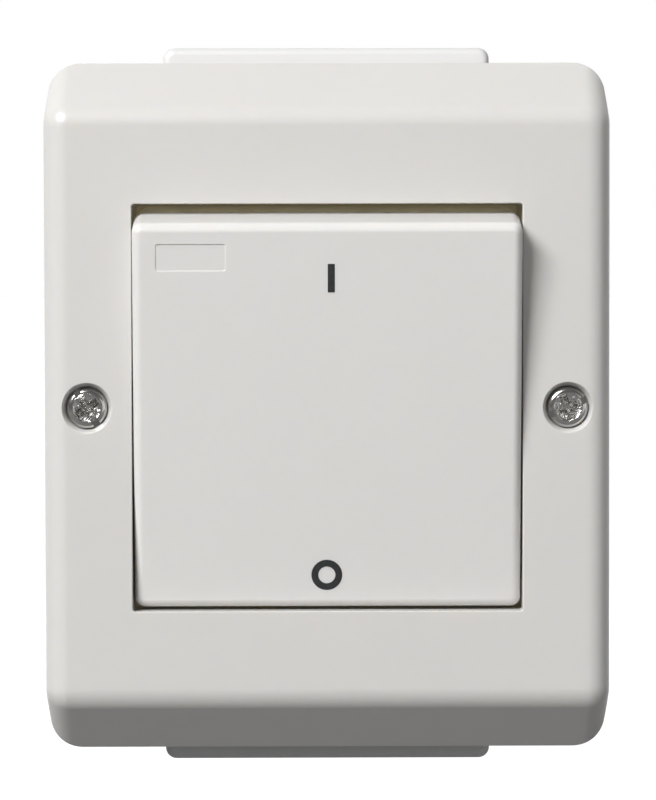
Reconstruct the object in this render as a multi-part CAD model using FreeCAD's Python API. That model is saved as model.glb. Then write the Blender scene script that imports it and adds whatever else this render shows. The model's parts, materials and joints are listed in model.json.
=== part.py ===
import FreeCAD, Part
import math
import os

# A surface-mounted weatherproof switch: a box on the wall, a chamfered cover on the box, and one
# large rocker that works a two-pole switching mechanism behind an elastomer boot.
#
# Millimetres and degrees. X runs to the right, Y runs into the wall and Z runs up. The wall is the
# plane Y = 0 and the origin is the middle of the box's back, so all of the switch has negative Y.
# The rocker is stored switched off: its upper edge stands out and its lower edge is pressed in.

V = FreeCAD.Vector
ACROSS = V(1, 0, 0)
INWARD = V(0, 1, 0)
CENTRE = V(0, 0, 0)
PAST = 1.0             # how far a cutting tool runs past the face that it opens
NEAR = 0.01            # how close a place counts as the same
FULL_ROUND = 0.001     # what a full round end keeps back from half the width

# Cover
end_border = 20.35     # from the opening to the cover's upper and lower ends
cover_stand = 52.0     # from the wall to the cover's front face
cover_depth = 13.0     # from the front face to the rim
cover_wall = 2.6
cover_rim_wall = 4.2
cover_rim_band = 2.2
outline_radius = 5.3   # of the outline's corners, seen from the front
side_radius = 3.5
crease_radius = 4.4
chamfer_height = 7.5
chamfer_depth = 7.4
opening_width = 55.7
opening_height = 58.1
opening_edge_radius = 0.15
opening_corner_radius = 0.4
collar_wall = 1.6
collar_depth = 15.5
cover_rib_thickness = 1.0
cover_rib_depth = 5.0  # from the front wall's inside to the ribs' edges
cover_rib_x = 17.0

# Rocker plate
rocker_gap_side = 0.25
rocker_gap_end = 1.55
rocker_wall = 1.8
rocker_face_thickness = 2.2
rocker_wall_depth = 8.0
rocker_end_draft = 7.0  # the end walls lean out by this angle towards the back
rocker_proud = 1.8     # how far the face stands before the cover when the rocker is level
rocker_corner_radius = 1.4
rocker_edge_radius = 1.3
rocker_tilt = 7.0
plaque_width = 9.85
plaque_height = 3.75
plaque_depth = 0.12
plaque_x = -19.3
plaque_z = 22.8
plaque_corner_radius = 0.3
stiffener_height = 1.4
stiffener_thickness = 0.9
stiffener_z = 18.0

# Pivot and actuator
pivot_setback = 10.5   # from the rocker's face back to its pivot
pin_radius = 1.6
pin_clearance = 0.05
hub_radius = 3.3
hub_gap = 0.2
ear_wall = 2.0
ear_thickness = 3.0
ear_edge = 2.5         # from the bridge's end to the outside of an ear
neck_pole_gap = 1.0    # the neck ends this far short of the plungers' axes
neck_thickness = 5.0
clip_wall = 1.5
clip_clearance = 0.05
clip_grip = 2.4
pole_to_ear = 6.0      # from a plunger's axis to the ear beside it

# Plungers and their springs
plunger_radius = 1.6
plunger_clearance = 0.08
plunger_reach = 14.5   # from the pivot to the plunger's tip
plunger_length = 8.5
guide_wall = 0.9
guide_end = 9.0        # from the pivot to the guide's mouth
guide_bottom = 2.2     # the bore ends this far before the pivot
spring_wire_radius = 0.22
spring_clearance = 0.15
spring_turns = 5
spring_wire_sides = 4

# Contacts
seesaw_tilt = 8.0
seesaw_reach = 9.5
seesaw_width = 4.6
seesaw_thickness = 1.0
seesaw_lip = 0.8
seesaw_lip_run = 2.2
seesaw_clearance = 0.05
tip_radius = 1.6
tip_thickness = 0.8
tip_z = 7.6
contact_gap_closed = 0.07
contact_pad_thickness = 0.9
contact_pad_margin = 1.1
strip_thickness = 1.0
saddle_radius = 0.75
stop_width = 1.0
stop_clearance = 0.05

# Terminals
terminal_z = 16.4
cage_width = 6.4
cage_height = 6.0
cage_depth = 9.0
cage_wall = 1.3
cage_clearance = 0.1
terminal_screw_radius = 1.25
terminal_head_radius = 2.3
terminal_head_height = 1.5
terminal_screw_length = 8.0
terminal_screw_backed_out = 1.6
thread_clearance = 0.05

# Mechanism housing
housing_margin = 0.5   # the housing stands this far outside the bridge
housing_end_gap = 0.8  # from the terminals to the housing's end walls
housing_wall = 1.8
housing_floor = 2.0
housing_radius = 2.0
partition_thickness = 1.2
fulcrum_to_strip = 8.2
rib_width = 3.0
bridge_side_gap = 7.2  # from the opening's side in to the bridge's end
bridge_height = 22.0
bridge_thickness = 1.8
bridge_window_margin = 1.5
bridge_window_height = 13.0
bridge_screw_edge = 3.0
bridge_screw_z = 7.4
bridge_boss_radius = 2.5

# Support plate
plate_side_margin = 1.6  # the plate reaches this far past the clamp frame at the sides
plate_end_margin = 6.45  # and this far at the ends
plate_thickness = 1.2
plate_corner_radius = 3.0
plate_screw_edge = 10.0  # from the plate's side to its screws
plate_screw_gap = 3.05   # from the clamp frame's end to the plate's screws
access_radius = 2.8
access_slot_width = 12.0
access_slot_height = 5.0
boss_notch_clearance = 1.0

# Elastomer boot and the frame that clamps it
boot_thickness = 1.0
boot_flange_margin = 1.1  # the flange reaches this far outside the cover's collar
boot_base_gap = 3.4    # from the collar's bore in to the foot of the boot
boot_side_clearance = 1.5  # between the boot's peak and the ears
boot_peak_height = 23.0
boot_corner_radius = 4.0
boot_peak_clearance = 0.5
boot_lip_clearance = 0.3
flange_corner_radius = 2.6
clamp_thickness = 1.5
clamp_width = 4.0

# Box
box_inset = 1.3        # the box's sides stand this far inside the cover's outline
box_wall = 2.9
box_floor = 2.8
box_corner_radius = 5.0
pad_margin = 3.25      # from a cable entry's recess to the pad's side
pad_reach = 2.6        # the pads stand this far outside the cover's outline
pad_seam = 0.4
pad_corner_radius = 1.6
pad_edge_radius = 1.0
pad_rim_depth = 4.0
post_radius = 3.0
fixing_from_end = 9.4  # from the cover's end to the middle of a wall-fixing slot
fixing_width = 4.6
fixing_length = 8.0
fixing_recess_margin = 2.2  # the recess for the screw heads reaches this far round the slot
fixing_recess_depth = 1.0

# Seal between the box and the cover
groove_inset = 1.15
groove_width = 1.4
groove_depth = 1.8
seal_clearance = 0.05

# Cover screws, their seals and the inserts they go into
screw_from_opening = 6.45
screw_from_side = 6.17
recess_radius = 3.6
recess_floor_radius = 2.95
recess_depth = 3.2
recess_wall = 1.2
tube_radius = 3.2
screw_hole_radius = 1.7
screw_radius = 1.45
screw_length = 18.0
head_radius = 2.72
head_height = 2.1
head_side_height = 0.9
slot_width = 0.85
slot_depth = 1.0
cross_width = 0.95
cross_length = 3.0
cross_depth = 1.3
left_screw_turn = 60.0
right_screw_turn = -22.0
washer_thickness = 0.7
washer_radius = 2.6
washer_bore_radius = 1.75
insert_radius = 1.9
insert_length = 6.2
insert_bore_radius = 1.5
insert_flange_radius = 2.3
insert_flange_thickness = 0.6

# Small pan-head screws of the plate and the bridge
small_screw_radius = 1.25
small_screw_length = 7.0
small_head_radius = 2.3
small_head_height = 1.5
small_slot_width = 0.7
small_slot_depth = 0.8

# Cable-entry grommets
entry_gap = 1.0        # between the recesses of two entries side by side
entry_y = 17.5         # from the wall
entry_radius = 8.15
entry_recess_radius = 10.0
entry_recess_depth = 1.3
grommet_clearance = 0.1
grommet_grip = 1.2
grommet_grip_thickness = 1.0
grommet_mouth_radius = 6.5
grommet_tip_radius = 2.0
grommet_depth = 8.0
grommet_membrane = 0.9

# Places worked out from the driving dimensions
cover_width = opening_width + 2 * (screw_from_opening + screw_from_side)
cover_height = opening_height + 2 * end_border
cover_screw_x = opening_width / 2 + screw_from_opening
bridge_width = opening_width - 2 * bridge_side_gap
bridge_screw_x = bridge_width / 2 - bridge_screw_edge
ear_outer_x = bridge_width / 2 - ear_edge
ear_inner_x = ear_outer_x - ear_thickness
bridge_window_width = 2 * (ear_inner_x - bridge_window_margin)
pole_x = ear_inner_x - pole_to_ear
neck_width = 2 * (pole_x - neck_pole_gap)
housing_width = bridge_width + 2 * housing_margin
housing_height = 2 * (terminal_z + cage_height / 2 + housing_end_gap + housing_wall)
boot_peak_width = 2 * (ear_outer_x + boot_side_clearance + boot_thickness)
boot_width = opening_width + 2 * (collar_wall + boot_flange_margin)
boot_height = opening_height + 2 * (collar_wall + boot_flange_margin)
plate_width = boot_width + 2 * plate_side_margin
plate_height = boot_height + 2 * plate_end_margin
plate_screw_x = plate_width / 2 - plate_screw_edge
plate_screw_z = boot_height / 2 + plate_screw_gap
entry_x = entry_recess_radius + entry_gap / 2
pad_width = 2 * (entry_x + entry_recess_radius + pad_margin)
fixing_z = cover_height / 2 - fixing_from_end
front_y = -cover_stand
rim_y = front_y + cover_depth
collar_end_y = front_y + collar_depth
pivot_y = front_y - rocker_proud + pivot_setback
rocker_width = opening_width - 2 * rocker_gap_side
rocker_height = opening_height - 2 * rocker_gap_end
clamp_y = collar_end_y + boot_thickness
plate_y = clamp_y + clamp_thickness
housing_y = plate_y + plate_thickness
fulcrum_y = pivot_y + plunger_reach + seesaw_thickness + seesaw_clearance
strip_y = fulcrum_y + fulcrum_to_strip
cage_back_y = strip_y + strip_thickness + cage_clearance + cage_wall
cage_front_y = cage_back_y - cage_depth
housing_floor_y = cage_back_y
bridge_y = plate_y - bridge_thickness
box_width = cover_width - 2 * box_inset
box_height = cover_height - 2 * box_inset
pad_height = cover_height + 2 * pad_reach
groove_width_across = box_width - 2 * groove_inset
groove_height_across = box_height - 2 * groove_inset
guide_bore_radius = plunger_radius + plunger_clearance
guide_radius = guide_bore_radius + guide_wall
strip_width = cage_width - 2 * (cage_wall + cage_clearance)


def box_between(x0, x1, y0, y1, z0, z1):
    """A plain block between two corners."""
    return Part.makeBox(x1 - x0, y1 - y0, z1 - z0, V(x0, y0, z0))


def edges_along(shape, direction):
    """The straight edges of a shape that run along a direction."""
    found = []
    for edge in shape.Edges:
        start, end = edge.valueAt(edge.FirstParameter), edge.valueAt(edge.LastParameter)
        run = end - start
        if run.Length > 0 and abs(run.normalize().dot(direction)) > 0.999:
            found.append(edge)
    return found


def slab(width, height, y0, y1, radius=0.0, x=0.0, z=0.0):
    """A block centred on (x, z) from depth y0 to y1, with its four edges along Y rounded."""
    block = box_between(x - width / 2, x + width / 2, y0, y1, z - height / 2, z + height / 2)
    if radius > 0:
        block = block.makeFillet(radius, edges_along(block, INWARD))
    return block


def rod(radius, y0, y1, x=0.0, z=0.0):
    """A round bar along Y."""
    return Part.makeCylinder(radius, y1 - y0, V(x, y0, z), INWARD)


def axle(radius, x0, x1, y=0.0, z=0.0):
    """A round bar along X."""
    return Part.makeCylinder(radius, x1 - x0, V(x0, y, z), ACROSS)


def run_across(points, x0, x1):
    """A profile of (y, z) points, run along X."""
    corners = [V(x0, y, z) for y, z in points]
    face = Part.Face(Part.makePolygon(corners + corners[:1]))
    return face.extrude(V(x1 - x0, 0, 0))


def turn(points, x=0.0, z=0.0):
    """A profile of (radius, y) points, turned about an axis along Y."""
    corners = [V(r, y, 0) for r, y in points]
    face = Part.Face(Part.makePolygon(corners + corners[:1]))
    solid = face.revolve(CENTRE, INWARD, 360)
    solid.translate(V(x, 0, z))
    return solid


def at_rest(shape):
    """Puts a piece modelled about the pivot into the rocker's switched-off place."""
    placed = shape.copy()
    placed.rotate(CENTRE, ACROSS, rocker_tilt)
    placed.translate(V(0, pivot_y, 0))
    return placed


def joined(shapes):
    """One solid from overlapping or touching ones."""
    first, rest = shapes[0], shapes[1:]
    return first.fuse(rest).removeSplitter()


def beside(side, near, far, y0, y1, z0, z1):
    """A plain block on one side of the middle plane, from a near to a far distance from it."""
    x0, x1 = sorted((side * near, side * far))
    return box_between(x0, x1, y0, y1, z0, z1)


def side_name(side):
    return "left" if side < 0 else "right"


def level_name(level):
    return "bottom" if level < 0 else "top"


# Cover

def cover_form(inset, rear_y):
    """The cover's outer form, moved inwards by an inset and run back to rear_y."""
    slant = math.hypot(chamfer_height, chamfer_depth)
    half_width = cover_width / 2 - inset
    top = cover_height / 2 - inset
    crease_z = cover_height / 2 - chamfer_height - inset * (slant - chamfer_height) / chamfer_depth
    shoulder_y = front_y + chamfer_depth + inset * (slant - chamfer_depth) / chamfer_height
    face_y = front_y + inset
    profile = [
        (face_y, crease_z),
        (shoulder_y, top),
        (rear_y, top),
        (rear_y, -top),
        (shoulder_y, -top),
        (face_y, -crease_z),
    ]
    body = run_across(profile, -half_width, half_width)
    creases = [e for e in edges_along(body, ACROSS) if abs(e.CenterOfMass.y - face_y) < NEAR]
    body = body.makeFillet(crease_radius - inset, creases)
    sides = []
    for edge in body.Edges:
        middle = edge.CenterOfMass
        if abs(abs(middle.x) - half_width) < NEAR and middle.y < rear_y - NEAR:
            sides.append(edge)
    body = body.makeFillet(side_radius - inset, sides)
    return body.common(slab(2 * half_width, 2 * top, front_y - PAST, rear_y, outline_radius - inset))


def make_cover():
    outer = cover_form(0.0, rim_y)
    band_y = rim_y - cover_rim_band
    shell = outer.cut(cover_form(cover_wall, band_y))
    rim_radius = outline_radius - cover_wall
    mouth = slab(cover_width - 2 * cover_rim_wall, cover_height - 2 * cover_rim_wall,
                 band_y - PAST, rim_y + PAST, rim_radius)
    shell = shell.cut(mouth)
    collar = slab(opening_width + 2 * collar_wall, opening_height + 2 * collar_wall,
                  front_y + cover_wall / 2, collar_end_y, opening_corner_radius + collar_wall)
    inside = [collar]
    for side in (-1, 1):
        x = side * cover_screw_x
        cup = rod(recess_radius + recess_wall, front_y, front_y + recess_depth + recess_wall, x)
        inside.append(cup.common(outer))
        inside.append(rod(tube_radius, front_y + recess_depth, rim_y, x))
    middle_of_wall = cover_form(cover_wall / 2, rim_y)
    rib_start = opening_height / 2 + collar_wall / 2
    for side in (-1, 1):
        for level in (-1, 1):
            z0, z1 = sorted((level * rib_start, level * cover_height / 2))
            rib = box_between(side * cover_rib_x - cover_rib_thickness / 2,
                              side * cover_rib_x + cover_rib_thickness / 2,
                              front_y, front_y + cover_wall + cover_rib_depth, z0, z1)
            inside.append(rib.common(middle_of_wall))
    shell = joined([shell] + inside)
    shell = shell.cut(slab(opening_width, opening_height, front_y - PAST, collar_end_y + PAST,
                           opening_corner_radius))
    for side in (-1, 1):
        x = side * cover_screw_x
        recess = Part.makeCone(recess_radius, recess_floor_radius, recess_depth, V(x, front_y, 0), INWARD)
        shell = shell.cut(recess)
        shell = shell.cut(rod(screw_hole_radius, front_y, rim_y + PAST, x))
    rim = []
    for edge in shell.Edges:
        middle = edge.CenterOfMass
        inside_x = abs(middle.x) < opening_width / 2 + NEAR
        inside_z = abs(middle.z) < opening_height / 2 + NEAR
        if abs(middle.y - front_y) < NEAR and inside_x and inside_z:
            rim.append(edge)
    return shell.makeFillet(opening_edge_radius, rim)


# Cover screws, seals and inserts

def slotted_head(radius, height, side_height, slot, depth, shaft_radius, shaft_length):
    """A domed screw head with a slot, on a plain shaft. Its underside is at Y = 0."""
    rise = height - side_height
    sphere_radius = (radius * radius + rise * rise) / (2 * rise)
    drum = rod(radius, -height, 0)
    dome = Part.makeSphere(sphere_radius, V(0, sphere_radius - height, 0))
    head = drum.common(dome)
    head = head.cut(box_between(-radius, radius, -height - PAST, depth - height, -slot / 2, slot / 2))
    return head.fuse(rod(shaft_radius, 0, shaft_length)).removeSplitter()


def make_cover_screw(side):
    screw = slotted_head(head_radius, head_height, head_side_height, slot_width, slot_depth,
                         screw_radius, screw_length)
    for width, length in ((cross_width, cross_length), (cross_length, cross_width)):
        screw = screw.cut(slab(width, length, -head_height - PAST, cross_depth - head_height))
    screw.rotate(CENTRE, INWARD, left_screw_turn if side < 0 else right_screw_turn)
    screw.translate(V(side * cover_screw_x, front_y + recess_depth - washer_thickness, 0))
    return screw


def make_screw_seal(side):
    floor_y = front_y + recess_depth
    ring = rod(washer_radius, floor_y - washer_thickness, floor_y)
    ring = ring.cut(rod(washer_bore_radius, floor_y - washer_thickness - PAST, floor_y + PAST))
    ring.translate(V(side * cover_screw_x, 0, 0))
    return ring


def make_insert(side):
    flange_end = rim_y + insert_flange_thickness
    bush = rod(insert_flange_radius, rim_y, flange_end)
    bush = bush.fuse(rod(insert_radius, flange_end, rim_y + insert_length)).removeSplitter()
    bush = bush.cut(rod(insert_bore_radius, rim_y - PAST, rim_y + insert_length + PAST))
    bush.translate(V(side * cover_screw_x, 0, 0))
    return bush


# Box

def entry_tool(radius, from_outside, to_inside, side, level):
    """A round tool on one cable entry's axis, between two depths below the pad's outer face."""
    outer_z = level * pad_height / 2
    length = to_inside - from_outside
    return Part.makeCylinder(radius, length, V(side * entry_x, -entry_y, outer_z - level * from_outside),
                             V(0, 0, -level))


def fixing_slot(level, width, length, y0, y1):
    """A wall-fixing slot, long along Z."""
    return slab(width, length, y0, y1, width / 2 - FULL_ROUND, 0, level * fixing_z)


def make_box():
    body = slab(box_width, box_height, rim_y, 0, box_corner_radius)
    pads = slab(pad_width, pad_height, rim_y + pad_seam, 0, pad_corner_radius)
    front_edges = []
    for edge in pads.Edges:
        middle = edge.CenterOfMass
        if abs(middle.y - rim_y - pad_seam) < NEAR and abs(middle.z) > box_height / 2:
            front_edges.append(edge)
    pads = pads.makeFillet(pad_edge_radius, front_edges)
    body = joined([body, pads])
    body = body.cut(slab(box_width - 2 * box_wall, box_height - 2 * box_wall, rim_y - PAST, -box_floor,
                         box_corner_radius - box_wall))
    body = body.cut(slab(pad_width - 2 * box_wall, pad_height - 2 * box_wall,
                         rim_y + pad_rim_depth, -box_floor))
    fittings = []
    for side in (-1, 1):
        boss_radius = insert_flange_radius + recess_wall
        fittings.append(rod(boss_radius, rim_y, -box_floor, side * cover_screw_x))
        for level in (-1, 1):
            fittings.append(rod(post_radius, housing_y, -box_floor, side * plate_screw_x,
                                level * plate_screw_z))
    body = joined([body] + fittings)
    ring = slab(groove_width_across, groove_height_across, rim_y - PAST, rim_y + groove_depth,
                box_corner_radius - groove_inset)
    ring = ring.cut(slab(groove_width_across - 2 * groove_width, groove_height_across - 2 * groove_width,
                         rim_y - 2 * PAST, rim_y + groove_depth + PAST,
                         box_corner_radius - groove_inset - groove_width))
    body = body.cut(ring)
    for side in (-1, 1):
        x = side * cover_screw_x
        flange_end = rim_y + insert_flange_thickness
        body = body.cut(rod(insert_flange_radius, rim_y - PAST, flange_end, x))
        body = body.cut(rod(insert_radius, rim_y, rim_y + insert_length, x))
        body = body.cut(rod(screw_radius + thread_clearance, rim_y,
                            front_y + recess_depth + screw_length + PAST, x))
        for level in (-1, 1):
            body = body.cut(rod(small_screw_radius + thread_clearance, housing_y - PAST,
                                plate_y + small_screw_length + PAST, side * plate_screw_x,
                                level * plate_screw_z))
            body = body.cut(entry_tool(entry_radius, -PAST, box_wall + PAST, side, level))
            body = body.cut(entry_tool(entry_recess_radius, -PAST, entry_recess_depth, side, level))
    for level in (-1, 1):
        body = body.cut(fixing_slot(level, fixing_width, fixing_length, -box_floor - PAST, PAST))
        margin = 2 * fixing_recess_margin
        body = body.cut(fixing_slot(level, fixing_width + margin, fixing_length + margin,
                                    -box_floor - PAST, fixing_recess_depth - box_floor))
    return body


def make_box_seal():
    width = groove_width_across - 2 * seal_clearance
    height = groove_height_across - 2 * seal_clearance
    band = groove_width - 2 * seal_clearance
    radius = box_corner_radius - groove_inset - seal_clearance
    ring = slab(width, height, rim_y, rim_y + groove_depth, radius)
    return ring.cut(slab(width - 2 * band, height - 2 * band, rim_y - PAST, rim_y + groove_depth + PAST,
                         radius - band))


def make_grommet(side, level):
    wall_in = box_wall
    cone_end = grommet_depth + grommet_membrane
    flange_radius = entry_recess_radius - grommet_clearance
    grip_radius = entry_radius + grommet_grip
    grip_end = wall_in + grommet_grip_thickness
    profile = [
        (0, grommet_depth),
        (grommet_tip_radius, grommet_depth),
        (grommet_mouth_radius, entry_recess_depth),
        (grommet_mouth_radius, grommet_clearance),
        (flange_radius, grommet_clearance),
        (flange_radius, entry_recess_depth),
        (entry_radius - grommet_clearance, entry_recess_depth),
        (entry_radius - grommet_clearance, wall_in),
        (grip_radius, wall_in),
        (grip_radius, grip_end),
        (grommet_mouth_radius + grommet_membrane, grip_end),
        (grommet_tip_radius + grommet_membrane, cone_end),
        (0, cone_end),
    ]
    grommet = turn(profile)
    grommet.rotate(CENTRE, ACROSS, -90 * level)
    grommet.translate(V(side * entry_x, -entry_y, level * pad_height / 2))
    return grommet


# Rocker plate, modelled about its pivot

def rocker_block(inset, y0, y1):
    """The rocker's outline with its leaning ends, moved inwards and run between two depths."""
    half_width = rocker_width / 2 - inset
    lean = math.tan(math.radians(rocker_end_draft))
    half0 = rocker_height / 2 - inset + lean * (y0 + pivot_setback)
    half1 = rocker_height / 2 - inset + lean * (y1 + pivot_setback)
    return run_across([(y0, -half0), (y0, half0), (y1, half1), (y1, -half1)], -half_width, half_width)


def make_rocker():
    face = -pivot_setback
    rear = face + rocker_wall_depth
    under = face + rocker_face_thickness
    body = rocker_block(0, face, rear)
    corners = [e for e in body.Edges if abs(e.CenterOfMass.y - (face + rear) / 2) < NEAR]
    body = body.makeFillet(rocker_corner_radius, corners)
    front_edges = [e for e in body.Edges if abs(e.CenterOfMass.y - face) < NEAR]
    body = body.makeFillet(rocker_edge_radius, front_edges)
    body = body.cut(rocker_block(rocker_wall, under, rear + PAST))
    ribs = []
    half_inside = rocker_width / 2 - rocker_wall
    for level in (-1, 1):
        z = level * stiffener_z
        ribs.append(slab(2 * half_inside, stiffener_thickness, under, under + stiffener_height, 0, 0, z))
        clip_z = level * (neck_thickness / 2 + clip_clearance + clip_wall / 2)
        ribs.append(slab(neck_width, clip_wall, under, under + clip_grip, 0, 0, clip_z))
    body = joined([body] + ribs)
    plaque = slab(plaque_width, plaque_height, face - PAST, face + plaque_depth, plaque_corner_radius,
                  plaque_x, plaque_z)
    return at_rest(body.cut(plaque))


# Actuator, plungers and springs, modelled about the pivot

def make_actuator():
    hub_half = ear_inner_x - hub_gap
    body = axle(hub_radius, -hub_half, hub_half)
    pins = axle(pin_radius, -ear_outer_x, ear_outer_x)
    neck = slab(neck_width, neck_thickness, rocker_face_thickness - pivot_setback, 0)
    pieces = [body, pins, neck]
    for side in (-1, 1):
        pieces.append(rod(guide_radius, 0, guide_end, side * pole_x))
    body = joined(pieces)
    for side in (-1, 1):
        body = body.cut(rod(guide_bore_radius, -guide_bottom, guide_end + PAST, side * pole_x))
    return at_rest(body)


def plunger_tail():
    return plunger_reach - plunger_length


def make_plunger(side):
    x = side * pole_x
    shaft = rod(plunger_radius, plunger_tail(), plunger_reach - plunger_radius, x)
    tip = Part.makeSphere(plunger_radius, V(x, plunger_reach - plunger_radius, 0))
    return at_rest(shaft.fuse(tip).removeSplitter())


def make_spring(side):
    """A coil spring between the bottom of the guide's bore and the plunger's tail."""
    length = plunger_tail() + guide_bottom - 2 * spring_wire_radius
    coil_radius = guide_bore_radius - spring_clearance - spring_wire_radius
    helix = Part.makeHelix(length / spring_turns, length, coil_radius)
    corners = []
    for number in range(spring_wire_sides + 1):
        angle = math.radians(360 * number / spring_wire_sides)
        corners.append(V(coil_radius + spring_wire_radius * math.cos(angle), 0,
                         spring_wire_radius * math.sin(angle)))
    coil = Part.Wire(helix).makePipeShell([Part.makePolygon(corners)], True, True)
    coil.rotate(CENTRE, ACROSS, -90)
    coil.translate(V(side * pole_x, spring_wire_radius - guide_bottom, 0))
    return at_rest(coil)


# Contacts

def make_contact_rocker(side):
    """A seesaw strip with a contact tip, modelled about its fulcrum and tilted to the off place."""
    half = seesaw_width / 2
    lip_z = seesaw_reach - seesaw_lip_run
    profile = [
        (0, -lip_z),
        (-seesaw_lip, -seesaw_reach),
        (-seesaw_lip - seesaw_thickness, -seesaw_reach),
        (-seesaw_thickness, -lip_z),
        (-seesaw_thickness, lip_z),
        (-seesaw_lip - seesaw_thickness, seesaw_reach),
        (-seesaw_lip, seesaw_reach),
        (0, lip_z),
    ]
    strip = run_across(profile, -half, half)
    tip = rod(tip_radius, -seesaw_thickness / 2, tip_thickness, 0, tip_radius - tip_z)
    seesaw = joined([strip, tip])
    seesaw.rotate(CENTRE, ACROSS, -seesaw_tilt)
    seesaw.translate(V(side * pole_x, fulcrum_y, 0))
    return seesaw


def tab_end_z():
    return terminal_z + cage_height / 2


def make_pivot_contact(side):
    """A strip from the upper terminal to the seesaw's fulcrum, with a round-nosed post."""
    x = side * pole_x
    half = strip_width / 2
    foot = box_between(x - half, x + half, strip_y, strip_y + strip_thickness, -saddle_radius, tab_end_z())
    nose_y = fulcrum_y + seesaw_clearance + saddle_radius
    post = box_between(x - half, x + half, nose_y, strip_y, -saddle_radius, saddle_radius)
    nose = axle(saddle_radius, x - half, x + half, nose_y)
    return joined([foot, post, nose])


def closed_tip_y():
    """The deepest place that the contact tip reaches when the switch is on."""
    tilt = math.radians(seesaw_tilt)
    return fulcrum_y + tip_thickness * math.cos(tilt) + tip_z * math.sin(tilt)


def make_fixed_contact(side):
    """A stepped strip from the lower terminal to the pad that the contact tip meets."""
    x = side * pole_x
    half = strip_width / 2
    pad_y = closed_tip_y() + contact_gap_closed
    riser_z = -tip_z - contact_pad_thickness
    pad = box_between(x - half, x + half, pad_y, pad_y + contact_pad_thickness, riser_z,
                      2 * tip_radius - tip_z + contact_pad_margin)
    riser = box_between(x - half, x + half, pad_y, strip_y + strip_thickness,
                        riser_z - strip_thickness, riser_z)
    foot = box_between(x - half, x + half, strip_y, strip_y + strip_thickness, -tab_end_z(), riser_z)
    return joined([pad, riser, foot])


# Terminals

def make_terminal_clamp(side, level):
    x = side * pole_x
    z = level * terminal_z
    cage = slab(cage_width, cage_height, cage_front_y, cage_back_y, 0, x, z)
    window = slab(cage_width - 2 * cage_wall, cage_height + 2 * PAST, cage_front_y + cage_wall,
                  cage_back_y - cage_wall, 0, x, z)
    cage = cage.cut(window)
    return cage.cut(rod(terminal_screw_radius + thread_clearance, cage_front_y - PAST,
                        cage_front_y + cage_wall + PAST, x, z))


def make_terminal_screw(side, level):
    screw = slotted_head(terminal_head_radius, terminal_head_height, terminal_head_height / 2,
                         small_slot_width, small_slot_depth, terminal_screw_radius,
                         terminal_screw_length)
    screw.translate(V(side * pole_x, cage_front_y - terminal_screw_backed_out, level * terminal_z))
    return screw


# Mechanism housing, bridge and support plate

def bridge_screws():
    """The two diagonal places of the screws that hold the bridge to the housing."""
    return ((-bridge_screw_x, bridge_screw_z), (bridge_screw_x, -bridge_screw_z))


def make_housing():
    back_y = housing_floor_y + housing_floor
    body = slab(housing_width, housing_height, housing_y, back_y, housing_radius)
    body = body.cut(slab(housing_width - 2 * housing_wall, housing_height - 2 * housing_wall,
                         housing_y - PAST, housing_floor_y))
    inner_half_height = housing_height / 2 - housing_wall
    fittings = [box_between(-partition_thickness / 2, partition_thickness / 2, fulcrum_y,
                            housing_floor_y, -inner_half_height, inner_half_height)]
    riser_z = tip_z + contact_pad_thickness + strip_thickness
    cage_inner_z = terminal_z - cage_height / 2 - cage_clearance
    rib_y = strip_y + strip_thickness
    stop_z = seesaw_reach - seesaw_lip_run
    stop_y = fulcrum_y + stop_z * math.sin(math.radians(seesaw_tilt)) + stop_clearance
    for side in (-1, 1):
        near, far = pole_x - rib_width / 2, pole_x + rib_width / 2
        strip_edge = pole_x - strip_width / 2 - cage_clearance
        fittings.append(beside(side, near, far, rib_y, housing_floor_y, -saddle_radius, cage_inner_z))
        fittings.append(beside(side, near, far, rib_y, housing_floor_y, -cage_inner_z,
                               strip_thickness - riser_z))
        fittings.append(beside(side, 0, far, stop_y, strip_y - cage_clearance, stop_z - stop_width, stop_z))
        fittings.append(beside(side, 0, strip_edge, stop_y, housing_floor_y, stop_z - stop_width, stop_z))
    for x, z in bridge_screws():
        fittings.append(rod(bridge_boss_radius, housing_y, housing_floor_y, x, z))
    body = joined([body] + fittings)
    for x, z in bridge_screws():
        body = body.cut(rod(small_screw_radius + thread_clearance, housing_y - PAST,
                            bridge_y + small_screw_length + PAST, x, z))
    for side in (-1, 1):
        wire_width = cage_width - 2 * cage_wall
        wire_y0 = cage_front_y + cage_wall
        body = body.cut(box_between(side * pole_x - wire_width / 2, side * pole_x + wire_width / 2,
                                    wire_y0, strip_y, -housing_height, housing_height)
                        .cut(slab(housing_width, 2 * inner_half_height, housing_y, back_y)))
    return body


def make_bridge():
    base = slab(bridge_width, bridge_height, bridge_y, plate_y, housing_radius)
    ears = []
    for side in (-1, 1):
        x0, x1 = sorted((side * ear_inner_x, side * ear_outer_x))
        radius = pin_radius + ear_wall
        ears.append(box_between(x0, x1, pivot_y, bridge_y, -radius, radius))
        ears.append(axle(radius, x0, x1, pivot_y))
    body = joined([base] + ears)
    body = body.cut(slab(bridge_window_width, bridge_window_height, bridge_y - PAST, plate_y + PAST,
                         housing_radius))
    body = body.cut(axle(pin_radius + pin_clearance, -bridge_width, bridge_width, pivot_y))
    for x, z in bridge_screws():
        body = body.cut(rod(small_screw_radius + thread_clearance, bridge_y - PAST, plate_y + PAST, x, z))
    return body


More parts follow.
